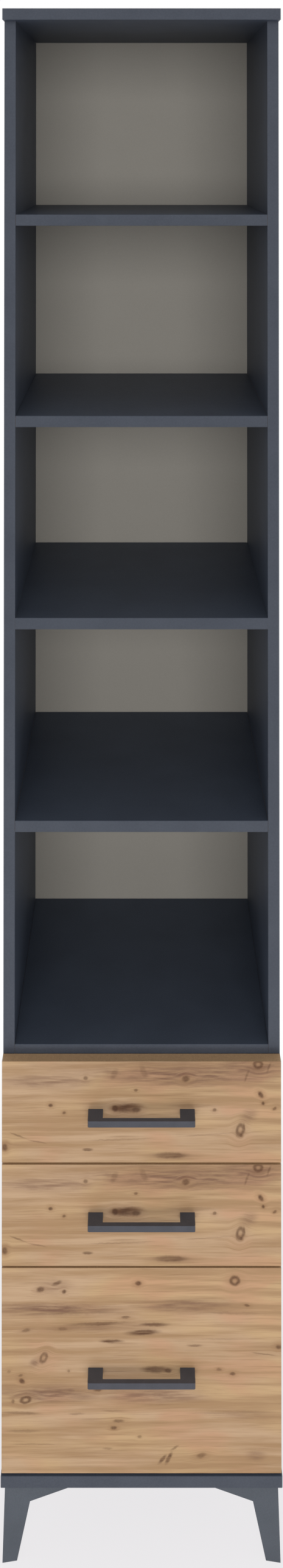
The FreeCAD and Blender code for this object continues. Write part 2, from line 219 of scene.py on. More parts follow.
@dataclass(frozen=True, kw_only=True)
class GritFinish(Finish):
    """An even colour with a second tone in clouds and grit, as pressed, coated or moulded.

    Real grit of a tenth of a millimetre is too fine to show, so it is drawn 0.7 to 2.5 mm wide.
    """

    second_tone: str
    second_starts: float = 0.7
    second_full: float = 1.3
    cloud_mm: float
    cloud_detail: float = 4.0
    grit_mm: float
    grit_detail: float = 2.0
    grit_depth_mm: float

    def texture(self, tree: NodeTree, shader: Node) -> None:
        """Mix the two tones by clouds and grit, and let the grit stand up.

        Args:
            tree: The material's node tree.
            shader: The shader that takes the texture.
        """
        place = add_node(tree, "ShaderNodeTexCoord").outputs["Object"]
        cloud = add_node(tree, "ShaderNodeTexNoise", {
            "Vector": place, "Scale": per_metre(self.cloud_mm), "Detail": self.cloud_detail})
        grit = add_node(tree, "ShaderNodeTexNoise", {
            "Vector": place, "Scale": per_metre(self.grit_mm), "Detail": self.grit_detail})
        both = add_node(tree, "ShaderNodeMath", {
            0: cloud.outputs["Fac"], 1: grit.outputs["Fac"]}, operation="ADD")
        share = add_node(tree, "ShaderNodeMapRange", {
            "Value": both.outputs["Value"], "From Min": self.second_starts, "From Max": self.second_full})
        self.tint(tree, shader, share.outputs["Result"], self.second_tone)
        self.emboss(tree, shader, grit.outputs["Fac"], self.grit_depth_mm)


@dataclass(frozen=True, kw_only=True)
class ChipFinish(Finish):
    """Bare sawn chipboard: pale and dark flakes of wood pressed flat in the plane of the board.

    The dust-fine flakes near the faces are too fine to show, so all are drawn at the core's size.
    """

    dark_flake: str
    flake_mm: tuple[float, float, float]
    flake_depth_mm: float = 0.12

    def texture(self, tree: NodeTree, shader: Node) -> None:
        """Give each flake a tone of its own and a step between it and the next.

        Args:
            tree: The material's node tree.
            shader: The shader that takes the texture.
        """
        place = add_node(tree, "ShaderNodeTexCoord").outputs["Object"]
        lay = add_node(tree, "ShaderNodeMapping", {
            "Vector": place, "Scale": [per_metre(size) for size in self.flake_mm]})
        flakes = add_node(tree, "ShaderNodeTexVoronoi", {"Vector": lay.outputs["Vector"], "Scale": 1.0})
        chance = add_node(tree, "ShaderNodeSeparateColor", {"Color": flakes.outputs["Color"]})
        self.tint(tree, shader, chance.outputs["Red"], self.dark_flake)
        self.emboss(tree, shader, chance.outputs["Green"], self.flake_depth_mm)


@dataclass(frozen=True, kw_only=True)
class FibreFinish(Finish):
    """Fibreboard, bare or under a thin lacquer that lets the felted fibres show.

    Real fibres are too fine to show, so they are drawn in bundles 1 to 3 mm wide.
    """

    fibre_tone: str
    fibre_mm: float = 2.2
    fibre_detail: float = 5.0
    fibre_tangle: float = 2.0
    fibre_share: float = 0.5
    fibre_depth_mm: float = 0.03
    cloud_mm: float = 45.0
    cloud_detail: float = 3.0
    cloud_least: float = 0.7

    def texture(self, tree: NodeTree, shader: Node) -> None:
        """Felt the two tones together at fibre size, a little more or less from cloud to cloud.

        Args:
            tree: The material's node tree.
            shader: The shader that takes the texture.
        """
        place = add_node(tree, "ShaderNodeTexCoord").outputs["Object"]
        fibres = add_node(tree, "ShaderNodeTexNoise", {
            "Vector": place, "Scale": per_metre(self.fibre_mm), "Detail": self.fibre_detail,
            "Distortion": self.fibre_tangle})
        clouds = add_node(tree, "ShaderNodeTexNoise", {
            "Vector": place, "Scale": per_metre(self.cloud_mm), "Detail": self.cloud_detail})
        felted = add_node(tree, "ShaderNodeMapRange", {
            "Value": fibres.outputs["Fac"], "From Min": NOISE_LOW, "From Max": NOISE_HIGH,
            "To Max": self.fibre_share})
        clouded = add_node(tree, "ShaderNodeMapRange", {
            "Value": clouds.outputs["Fac"], "From Min": NOISE_LOW, "From Max": NOISE_HIGH,
            "To Min": self.cloud_least})
        share = add_node(tree, "ShaderNodeMath", {
            0: felted.outputs["Result"], 1: clouded.outputs["Result"]}, operation="MULTIPLY")
        self.tint(tree, shader, share.outputs["Value"], self.fibre_tone)
        self.emboss(tree, shader, fibres.outputs["Fac"], self.fibre_depth_mm)


class Mark(Enum):
    """Kinds of mark in the wood, with the radii between which each one fades, one being its rim."""

    KNOT = (0.35, 1.1)
    RING = (0.04, 0.48)
    STREAK = (0.3, 1.0)
    STAIN = (0.1, 1.15)

    @property
    def is_knot(self) -> bool:
        """Whether it has a halo and the grain flows round it."""
        return self in (Mark.KNOT, Mark.RING)


@dataclass(frozen=True)
class GrainLayer:
    """Bands or lines of one tone that run along the grain, where a noise is high."""

    tone: str
    length_mm: float
    width_mm: float
    starts: float
    full: float
    share: float
    detail: float = 4.0


@dataclass(frozen=True)
class Spot:
    """One mark's place from the middle of the front's upper edge, in millimetres, and its darkness."""

    across: float
    down: float
    length: float
    width: float
    depth: float
    tilt: float = 0.0

    @property
    def middle(self) -> tuple[float, float, float]:
        """Its middle on the decor's plane, where up counts as more."""
        return self.across, -self.down, 0.0


Marks = dict[Mark, tuple[Spot, ...]]

# The two shallow fronts carry the same stretch of decor
UPPER_MARKS: Marks = {
    Mark.STAIN: (
        Spot(62, 19, 340, 44, 1.0),
        Spot(50, 17, 430, 60, 0.65),
        Spot(150, 12, 160, 50, 0.9),
        Spot(-130, 28, 190, 24, 0.75),
        Spot(126, 20, 26, 26, 0.85),
        Spot(72, 24, 60, 14, 0.85),
        Spot(150, 76, 34, 24, 0.6, tilt=30),
        Spot(-20, 64, 56, 18, 0.9),
        Spot(-40, 17, 60, 32, 0.75),
        Spot(8, 15, 50, 30, 0.7),
        Spot(40, 131, 96, 16, 0.5),
    ),
    Mark.STREAK: (
        Spot(-21, 65, 54, 17, 0.95, tilt=3),
        Spot(42, 130, 60, 11, 0.9),
        Spot(-75, 122, 20, 6, 0.8),
        Spot(-172, 103, 34, 3.4, 0.6, tilt=-20),
        Spot(-146, 111, 36, 3, 0.5, tilt=-11),
        Spot(75, 61, 92, 7, 0.25),
        Spot(147, 20, 24, 5, 0.5, tilt=70),
        Spot(178, 8, 20, 5, 0.55, tilt=70),
        Spot(-38, 17, 24, 12, 0.36, tilt=62),
        Spot(3, 14, 28, 12, 0.36, tilt=-65),
        Spot(-30, 108, 120, 3, 0.4, tilt=2),
        Spot(96, 101, 110, 2.4, 0.3, tilt=4),
        Spot(143.5, 91, 17, 3.6, 0.55, tilt=97),
    ),
    Mark.RING: (
        Spot(163, 4, 16, 14, 0.75),
        Spot(138, 95, 22, 14, 0.68, tilt=80),
    ),
    Mark.KNOT: (
        Spot(62, 24, 14, 11, 0.72, tilt=20),
        Spot(-37, 65, 11, 11, 0.85),
        Spot(-7, 67, 16, 10, 0.7),
        Spot(-127, 61, 8, 6, 0.85),
        Spot(-108, 71, 6, 5, 0.65, tilt=20),
        Spot(-78, 23, 8, 7, 0.6),
        Spot(-8, 40, 7, 5, 0.6),
        Spot(102, 67, 7, 6, 0.65),
        Spot(166.5, 46, 13, 8, 0.9, tilt=-50),
        Spot(170, 58, 6, 6, 0.8),
        Spot(186, 65, 7, 5, 0.65, tilt=40),
        Spot(138.5, 102, 8, 7, 0.8),
        Spot(-191, 119, 9, 12, 0.75),
    ),
}

LOWER_MARKS: Marks = {
    Mark.STAIN: (
        Spot(-120, 57, 250, 24, 1.0),
        Spot(60, 52, 190, 26, 0.85),
        Spot(-130, 174, 200, 32, 0.95),
        Spot(15, 176, 200, 28, 0.85),
        Spot(-125, 172, 28, 14, 0.95, tilt=15),
        Spot(-98, 170, 28, 14, 0.95),
        Spot(-149, 131, 20, 14, 0.7, tilt=30),
        Spot(-122, 26, 64, 26, 0.55),
        Spot(150, 202, 110, 18, 0.4),
        Spot(-60, 82, 230, 16, 0.5, tilt=2),
        Spot(159, 259, 34, 18, 0.7),
    ),
    Mark.STREAK: (
        Spot(-118, 21, 20, 8, 0.8, tilt=22),
        Spot(-60, 77, 124, 6, 0.75, tilt=2),
        Spot(-42, 101, 44, 7, 1.0),
        Spot(1, 89, 64, 11, 1.0, tilt=3),
        Spot(18, 78, 56, 7, 0.8),
        Spot(74, 107, 28, 5, 0.55),
        Spot(170, 118.5, 46, 3, 0.55, tilt=-7),
        Spot(-168, 200, 70, 6, 0.5, tilt=-2),
        Spot(-90, 201, 30, 5, 0.4),
        Spot(-38, 197, 44, 4, 0.35),
        Spot(-47, 249, 19, 5, 0.45),
        Spot(-166, 225, 64, 6, 0.5),
        Spot(20, 140, 54, 13, 1.0),
        Spot(-90, 62, 190, 5, 0.35, tilt=1),
        Spot(130, 62, 120, 5, 0.4, tilt=-1),
        Spot(110, 98, 90, 3, 0.25, tilt=-1),
        Spot(-150, 243, 90, 3, 0.4),
        Spot(120, 199, 140, 6, 0.25, tilt=1),
        Spot(29, 264, 22, 7, 0.85, tilt=47),
        Spot(38, 262, 26, 8, 0.85, tilt=62),
        Spot(46, 248, 18, 5, 0.6, tilt=30),
    ),
    Mark.RING: (
        Spot(130, 17.5, 17, 16, 0.8),
        Spot(-161.5, 182, 19, 12, 0.78, tilt=8),
        Spot(-136.5, 124, 19, 12, 0.62, tilt=65),
    ),
    Mark.KNOT: (
        Spot(-141, 29.5, 14, 9, 0.75, tilt=15),
        Spot(-108, 32.5, 8, 7, 0.85, tilt=20),
        Spot(-4.5, 21, 11, 8, 0.85),
        Spot(147, 51.5, 10, 4, 0.6, tilt=-10),
        Spot(-22, 68, 15, 5, 0.55),
        Spot(-161, 86, 15, 6, 0.5, tilt=10),
        Spot(-110, 84, 17, 5, 0.4),
        Spot(191, 109, 10, 7, 0.7),
        Spot(108, 140, 9, 5, 0.5),
        Spot(127, 146, 10, 6, 0.7),
        Spot(37, 141.5, 13, 8, 0.8),
        Spot(-166.5, 156, 11, 8, 0.9, tilt=-35),
        Spot(-168.5, 148, 8, 4.5, 0.5, tilt=15),
        Spot(-185, 143, 7, 5, 0.35, tilt=30),
        Spot(-101.5, 142, 5, 6, 0.4),
        Spot(-179, 184, 6, 7, 0.55),
        Spot(-61, 168, 14, 6, 0.7),
        Spot(-38.5, 220.5, 11, 6, 0.75),
        Spot(-32, 211, 19, 6, 0.6),
        Spot(-2.5, 232.5, 7, 5, 0.45),
        Spot(83, 258.5, 17, 9, 0.5, tilt=15),
    ),
}


@dataclass(frozen=True, kw_only=True)
class PineDecor(Finish):
    """Printed paper with the grain and knots of old pine lying across the front.

    Real pores and late-wood lines are too fine to show, so the finest are drawn about 1 mm wide.
    """

    marks: Marks
    upper_edge: float
    layers: tuple[GrainLayer, ...] = (
        GrainLayer("#BC9C6E", 150.0, 70.0, 0.44, 0.6, 0.5, detail=1.0),
        GrainLayer("#B88C6D", 110.0, 55.0, 0.48, 0.64, 0.6, detail=1.0),
        GrainLayer("#9F7F5D", 280.0, 14.0, 0.36, 0.66, 1.0),
        GrainLayer("#7A5A3E", 120.0, 2.4, 0.53, 0.74, 0.45),
        GrainLayer("#8A694A", 45.0, 1.2, 0.5, 0.72, 0.34),
    )
    grain_roughness: float = 0.58
    stain_tone: str = "#755643"
    streak_tone: str = "#583A25"
    halo_tone: str = "#7A5334"
    knot_tone: str = "#4A2B16"
    halo_reach: float = 2.4
    halo_share: float = 0.5
    mottle_detail: float = 5.0
    mottle_roughness: float = 0.62
    mottle_low: float = 0.38
    mottle_high: float = 0.6
    patch_mm: float = 4.0
    patch_length_mm: float = 45.0
    patch_least: float = 0.35
    streak_least: float = 0.6
    crumb_mm: float = 4.7
    crumb_least: float = 0.8
    pore_mm: float = 0.9
    pore_length_mm: float = 14.0
    least_bend_mm: float = 7.0
    sway_mm: float = 4.0
    sway_length_mm: float = 190.0
    ragged_mm: float = 1.0
    ragged_size_mm: float = 5.0
    wobble_detail: float = 2.0
    flow_reach: float = 3.0
    flow_share: float = 0.8
    ring_radius: float = 0.62
    pore_depth_mm: float = 0.03

    def texture(self, tree: NodeTree, shader: Node) -> None:
        """Lay the grain round the knots, then print stains and knots on it.

        Args:
            tree: The material's node tree.
            shader: The shader that takes the texture.
        """
        plane = self.decor_plane(tree)
        printed, flow = self.print_marks(tree, plane)
        shares = []
        for layer in self.layers:
            noise = add_node(tree, "ShaderNodeTexNoise", {
                "Vector": self.stretched(tree, flow, layer.length_mm, layer.width_mm),
                "Scale": 1.0, "Detail": layer.detail, "Roughness": self.grain_roughness})
            share = add_node(tree, "ShaderNodeMapRange", {
                "Value": noise.outputs["Fac"], "From Min": layer.starts, "From Max": layer.full,
                "To Max": layer.share}, interpolation_type="SMOOTHSTEP")
            shares.append((layer.tone, share.outputs["Result"]))
        patches = self.stretched(tree, flow, self.patch_length_mm, self.patch_mm)
        crumbs = self.stretched(tree, plane, self.crumb_mm, self.crumb_mm)
        for tone, place, least in ((self.stain_tone, patches, self.patch_least),
                                   (self.streak_tone, patches, self.streak_least),
                                   (self.halo_tone, patches, self.patch_least),
                                   (self.knot_tone, crumbs, self.crumb_least)):
            mottle = add_node(tree, "ShaderNodeTexNoise", {
                "Vector": place, "Scale": 1.0, "Detail": self.mottle_detail,
                "Roughness": self.mottle_roughness})
            patchy = add_node(tree, "ShaderNodeMapRange", {
                "Value": mottle.outputs["Fac"], "From Min": self.mottle_low, "From Max": self.mottle_high,
                "To Min": least})
            broken = add_node(tree, "ShaderNodeMath", {
                0: printed[tone], 1: patchy.outputs["Result"]}, operation="MULTIPLY")
            shares.append((tone, broken.outputs["Value"]))
        colour: Union[Colour, NodeSocket] = linear(self.colour)
        for tone, share in shares:
            mixed = add_node(tree, "ShaderNodeMix", {
                MIX_FACTOR: share, MIX_A: colour, MIX_B: linear(tone)}, data_type="RGBA")
            colour = mixed.outputs[MIX_COLOUR]
        tree.links.new(colour, shader.inputs["Base Color"])
        pores = add_node(tree, "ShaderNodeTexNoise", {
            "Vector": self.stretched(tree, plane, self.pore_length_mm, self.pore_mm), "Scale": 1.0})
        self.emboss(tree, shader, pores.outputs["Fac"], self.pore_depth_mm)

    def decor_plane(self, tree: NodeTree) -> NodeSocket:
        """Lay a plane on the front, from the middle of its upper edge.

        Args:
            tree: The material's node tree.

        Returns:
            Places on the decor in millimetres, across and up.
        """
        place = add_node(tree, "ShaderNodeTexCoord").outputs["Object"]
        scale = per_metre(1.0)
        plane = add_node(tree, "ShaderNodeMapping", {
            "Vector": place, "Location": (0.0, -self.upper_edge * scale, 0.0),
            "Rotation": (-math.pi / 2, 0.0, 0.0), "Scale": (scale, 0.0, scale)})
        return plane.outputs["Vector"]

    def stretched(self, tree: NodeTree, place: NodeSocket, length_mm: float,
                  width_mm: float) -> NodeSocket:
        """Draw a pattern out along the grain.

        Args:
            tree: The material's node tree.
            place: Places on the decor in millimetres.
            length_mm: Size of the pattern along the grain.
            width_mm: Size of the pattern across the grain.

        Returns:
            Places counted in the pattern's own sizes.
        """
        drawn = add_node(tree, "ShaderNodeMapping", {
            "Vector": place, "Scale": (1 / length_mm, 1 / width_mm, 1.0)})
        return drawn.outputs["Vector"]

    def wobble(self, tree: NodeTree, place: NodeSocket, size_mm: float,
               reach: tuple[float, float]) -> NodeSocket:
        """Shift places by a noise.

        Args:
            tree: The material's node tree.
            place: Places on the decor in millimetres.
            size_mm: Size of the noise.
            reach: The furthest shift along and across the grain, in millimetres.

        Returns:
            The shifted places.
        """
        noise = add_node(tree, "ShaderNodeTexNoise", {
            "Vector": place, "Scale": 1 / size_mm, "Detail": self.wobble_detail})
        middled = add_node(tree, "ShaderNodeVectorMath", {
            0: noise.outputs["Color"], 1: NOISE_MIDDLE}, operation="SUBTRACT")
        shifted = add_node(tree, "ShaderNodeVectorMath", {
            0: middled.outputs["Vector"], 1: (2 * reach[0], 2 * reach[1], 0.0), 2: place},
            operation="MULTIPLY_ADD")
        return shifted.outputs["Vector"]

    def print_marks(self, tree: NodeTree, plane: NodeSocket) -> tuple[dict[str, NodeSocket], NodeSocket]:
        """Place every mark of this stretch of the decor.

        Args:
            tree: The material's node tree.
            plane: Places on the decor in millimetres.

        Returns:
            The share of each printed tone, and the places that the grain follows.
        """
        ragged = self.wobble(tree, plane, self.ragged_size_mm, (self.ragged_mm, self.ragged_mm))
        flow = self.wobble(tree, plane, self.sway_length_mm, (0.0, self.sway_mm))
        tones = {Mark.STAIN: self.stain_tone, Mark.STREAK: self.streak_tone,
                 Mark.RING: self.knot_tone, Mark.KNOT: self.knot_tone}
        printed: dict[str, NodeSocket] = {}
        for kind, spot in [(kind, spot) for kind, spots in self.marks.items() for spot in spots]:
            core, rim = kind.value
            radius = self.radius_in(tree, spot, ragged)
            off = self.off_ring(tree, radius) if kind is Mark.RING else radius
            shares = {tones[kind]: self.fading(tree, off, core, rim, spot.depth)}
            if kind.is_knot:
                shares[self.halo_tone] = self.fading(
                    tree, radius, core, self.halo_reach, self.halo_share * spot.depth)
            for tone, share in shares.items():
                if tone in printed:
                    share = add_node(tree, "ShaderNodeMath", {0: printed[tone], 1: share},
                                     operation="MAXIMUM").outputs["Value"]
                printed[tone] = share
            if kind.is_knot and spot.length >= self.least_bend_mm:
                flow = self.flow_round(tree, spot, flow, plane, radius)
        return printed, flow

    def radius_in(self, tree: NodeTree, spot: Spot, place: NodeSocket) -> NodeSocket:
        """Measure places from the middle of a mark.

        Args:
            tree: The material's node tree.
            spot: Where the mark lies.
            place: Places on the decor in millimetres.

        Returns:
            The distance from its middle, one at its rim.
        """
        if spot.tilt:
            place = add_node(tree, "ShaderNodeVectorRotate", {
                "Vector": place, "Center": spot.middle, "Angle": -math.radians(spot.tilt)},
                rotation_type="Z_AXIS").outputs["Vector"]
        along, aside = 2 / spot.length, 2 / spot.width
        inside = add_node(tree, "ShaderNodeVectorMath", {
            0: place, 1: (along, aside, 0.0), 2: (-spot.across * along, spot.down * aside, 0.0)},
            operation="MULTIPLY_ADD")
        return add_node(tree, "ShaderNodeVectorMath", {0: inside.outputs["Vector"]},
                        operation="LENGTH").outputs["Value"]

    def off_ring(self, tree: NodeTree, radius: NodeSocket) -> NodeSocket:
        """Measure places from the dark ring of a mark, inside or outside it.

        Args:
            tree: The material's node tree.
            radius: Distance from the mark's middle, one at its rim.

        Returns:
            The distance from the ring, in the same measure.
        """
        off = add_node(tree, "ShaderNodeMath", {0: radius, 1: self.ring_radius}, operation="SUBTRACT")
        return add_node(tree, "ShaderNodeMath", {0: off.outputs["Value"]},
                        operation="ABSOLUTE").outputs["Value"]

    def fading(self, tree: NodeTree, radius: NodeSocket, core: float, rim: float,
               depth: float) -> NodeSocket:
        """Let a tone fade with the distance from a mark.

        Args:
            tree: The material's node tree.
            radius: The distance, one at the mark's rim.
            core: Where the tone starts to fade.
            rim: Where it has faded.
            depth: The tone's share in the core.

        Returns:
            The share of the tone.
        """
        share = add_node(tree, "ShaderNodeMapRange", {
            "Value": radius, "From Min": core, "From Max": rim, "To Min": depth, "To Max": 0.0},
            interpolation_type="SMOOTHSTEP")
        return share.outputs["Result"]

    def flow_round(self, tree: NodeTree, spot: Spot, flow: NodeSocket, plane: NodeSocket,
                   radius: NodeSocket) -> NodeSocket:
        """Lead the grain round a knot.

        Args:
            tree: The material's node tree.
            spot: Where the knot lies.
            flow: The places that the grain follows so far.
            plane: Places on the decor in millimetres.
            radius: Distance from the knot's middle, one at its rim.

        Returns:
            The places that the grain follows with this knot in its way.
        """
        pull = add_node(tree, "ShaderNodeMapRange", {
            "Value": radius, "From Min": 0.0, "From Max": self.flow_reach, "To Min": self.flow_share,
            "To Max": 0.0}, interpolation_type="SMOOTHSTEP")
        away = add_node(tree, "ShaderNodeVectorMath", {0: plane, 1: spot.middle}, operation="SUBTRACT")
        drawn = add_node(tree, "ShaderNodeVectorMath", {
            0: away.outputs["Vector"], "Scale": pull.outputs["Result"]}, operation="SCALE")
        return add_node(tree, "ShaderNodeVectorMath", {
            0: flow, 1: drawn.outputs["Vector"]}, operation="SUBTRACT").outputs["Vector"]


# Resin-soaked paper pressed on chipboard: an even blue-grey with a soft pearl sheen
MELAMINE = GritFinish("melamine_pressed_anthracite", "#464E5C", 0.5, ior=1.65, specular=0.12,
                      second_tone="#3E4552", cloud_mm=70.0, grit_mm=1.6, grit_depth_mm=0.02)
# Extruded ABS strip ironed on the edges: the same blue-grey, a little smoother
EDGE_BAND = GritFinish("abs_edge_band_extruded", "#474C56", 0.42, ior=1.54, specular=0.25,
                       second_tone="#40454F", cloud_mm=40.0, grit_mm=2.5, grit_depth_mm=0.015)
# Sawn chipboard on edges that face the wall or another board: flecked tan, flakes in the board's plane
LEVEL_CHIPBOARD = ChipFinish("chipboard_sawn_level", "#C4A57F", 0.85, ior=1.5, specular=0.3,
                             dark_flake="#94744F", flake_mm=(4.5, 4.5, 1.2))
UPRIGHT_CHIPBOARD = replace(LEVEL_CHIPBOARD, name="chipboard_sawn_upright", flake_mm=(1.2, 4.5, 4.5))
CROSSWAYS_CHIPBOARD = replace(LEVEL_CHIPBOARD, name="chipboard_sawn_crossways", flake_mm=(4.5, 1.2, 4.5))
# Thin fibreboard lacquered by roller: a warm flat grey with a felted grain under it
GREY_FIBREBOARD = FibreFinish("fibreboard_roller_lacquered", "#ADA89F", 0.55, ior=1.49, specular=0.3,
                              fibre_tone="#A29D94", fibre_share=0.6, fibre_depth_mm=0.01)
# The same board's bare rear: brown, with dark fibres and a waxy sheen
BARE_FIBREBOARD = FibreFinish("fibreboard_pressed_bare", "#9A7A58", 0.7, ior=1.5, specular=0.3,
                              fibre_tone="#654B31", fibre_share=0.6)
# Paper-faced thin chipboard of the drawer boxes: a plain satin blue-grey
DRAWER_BOARD = GritFinish("drawer_board_paper_faced", "#494D56", 0.55, ior=1.55, specular=0.25,
                          second_tone="#41454E", cloud_mm=50.0, grit_mm=2.0, grit_depth_mm=0.015)
# Printed edge strip of the drawer fronts: the same pine, short-grained
PINE_BAND = FibreFinish("pine_edge_band_printed", "#BB9973", 0.5, ior=1.54, specular=0.3,
                        fibre_tone="#96775A", fibre_mm=3.0, cloud_mm=30.0, fibre_share=0.7,
                        fibre_depth_mm=0.01)
# Die-cast zinc under satin lacquer: smooth and dark, with soft highlights on its edges
HANDLE_LACQUER = GritFinish("zinc_die_cast_lacquered", "#4D4E55", 0.42, ior=1.5, specular=0.2,
                            second_tone="#45464C", cloud_mm=18.0, grit_mm=0.9, grit_depth_mm=0.01)
# Zinc-plated steel screws and pins: bright, a little clouded
ZINC_PLATE = GritFinish("steel_zinc_plated", "#B9BBBF", 0.3, metallic=1.0, second_tone="#A4A7AC",
                        cloud_mm=3.0, grit_mm=0.7, grit_depth_mm=0.01)
# Epoxy powder on rolled steel: pale grey with a fine orange peel
RUNNER_ENAMEL = GritFinish("steel_powder_coated", "#BFC1C2", 0.42, ior=1.55,
                           second_tone="#B5B8BA", cloud_mm=25.0, grit_mm=1.2, grit_depth_mm=0.03)
# Moulded nylon rollers: milky white, slightly waxy
NYLON = GritFinish("nylon_moulded", "#E0DDD4", 0.45, ior=1.53, second_tone="#D6D2C6",
                   cloud_mm=6.0, grit_mm=1.0, grit_depth_mm=0.015)
# Moulded ABS legs: grey with the fine spark-eroded grain of the mould
LEG_PLASTIC = GritFinish("abs_moulded_spark_grain", "#52575F", 0.5, ior=1.54, specular=0.25,
                         second_tone="#4A4F56", cloud_mm=35.0, grit_mm=1.2, grit_depth_mm=0.03)
# Fluted beech dowels: pale pink-brown with short flecks
BEECH = FibreFinish("beech_fluted", "#C39A70", 0.65, ior=1.53, specular=0.3,
                    fibre_tone="#96704A", fibre_mm=1.4, cloud_mm=12.0)


class Toward(Enum):
    """The way a face of a board or the head of a fastener looks."""

    LEFT = (-1, 0, 0)
    RIGHT = (1, 0, 0)
    FRONT = (0, -1, 0)
    REAR = (0, 1, 0)
    DOWN = (0, 0, -1)
    UP = (0, 0, 1)


SIDEWAYS = (Toward.LEFT, Toward.RIGHT)
UPRIGHT = (Toward.DOWN, Toward.UP)
LENGTHWAYS = (Toward.FRONT, Toward.REAR)


class Side(Enum):
    """A side of the case, with the way from there to the middle and the way out."""

    LEFT = (Toward.RIGHT, Toward.LEFT)
    RIGHT = (Toward.LEFT, Toward.RIGHT)

    @property
    def word(self) -> str:
        """Its word in the names of nodes."""
        return self.name.lower()


def coat(node_name: str, finish: Finish) -> Object:
    """Give a whole CAD node one finish.

    Args:
        node_name: The node.
        finish: Its finish.

    Returns:
        The node's object.
    """
    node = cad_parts[node_name]
    node.data.materials.clear()
    node.data.materials.append(finish.material())
    LOG.info("%s: %s", node_name, finish.name)
    return node


def face_board(node_name: str, faces: dict[Toward, Finish], core: Finish) -> Object:
    """Give each outer face of a board its own finish.

    Args:
        node_name: The board's node.
        faces: The finish of each outer face that has one.
        core: The finish of all other faces, such as sawn edges, grooves and holes.

    Returns:
        The node's object.
    """
    node = coat(node_name, core)
    low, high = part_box(node_name)
    slots = {core.name: 0}
    for finish in faces.values():
        if finish.name not in slots:
            slots[finish.name] = len(slots)
            node.data.materials.append(finish.material())
    for face in node.data.polygons:
        for toward, finish in faces.items():
            direction = Vector(toward.value)
            outermost = max(low.dot(direction), high.dot(direction))
            square = face.normal.dot(direction) > SQUARE_ON
            if square and face.center.dot(direction) > outermost - NEAR_FACE_MM * MM:
                face.material_index = slots[finish.name]
    return node


def soften(node: Object, radius_mm: float) -> None:
    """Break the sharp arrises of a CAD node, by modifiers alone.

    Args:
        node: The node's object.
        radius_mm: Width of the broken edge.
    """
    weld = node.modifiers.new("joined_corners", "WELD")
    weld.merge_threshold = WELD_MM * MM
    plain = node.modifiers.new("whole_faces", "DECIMATE")
    plain.decimate_type = "DISSOLVE"
    plain.angle_limit = math.radians(FLAT_DEG)
    plain.delimit = {"MATERIAL"}
    arris = node.modifiers.new("broken_arris", "BEVEL")
    arris.width = radius_mm * MM
    arris.segments = ARRIS_SEGMENTS
    arris.limit_method = "ANGLE"
    arris.angle_limit = math.radians(ARRIS_DEG)
    arris.use_clamp_overlap = True
    shade = node.modifiers.new("flat_faces", "WEIGHTED_NORMAL")
    shade.keep_sharp = False


class Drive(Enum):
    """How a fastener is driven."""

    CROSS = "cross recess"
    HAMMER = "plain head"


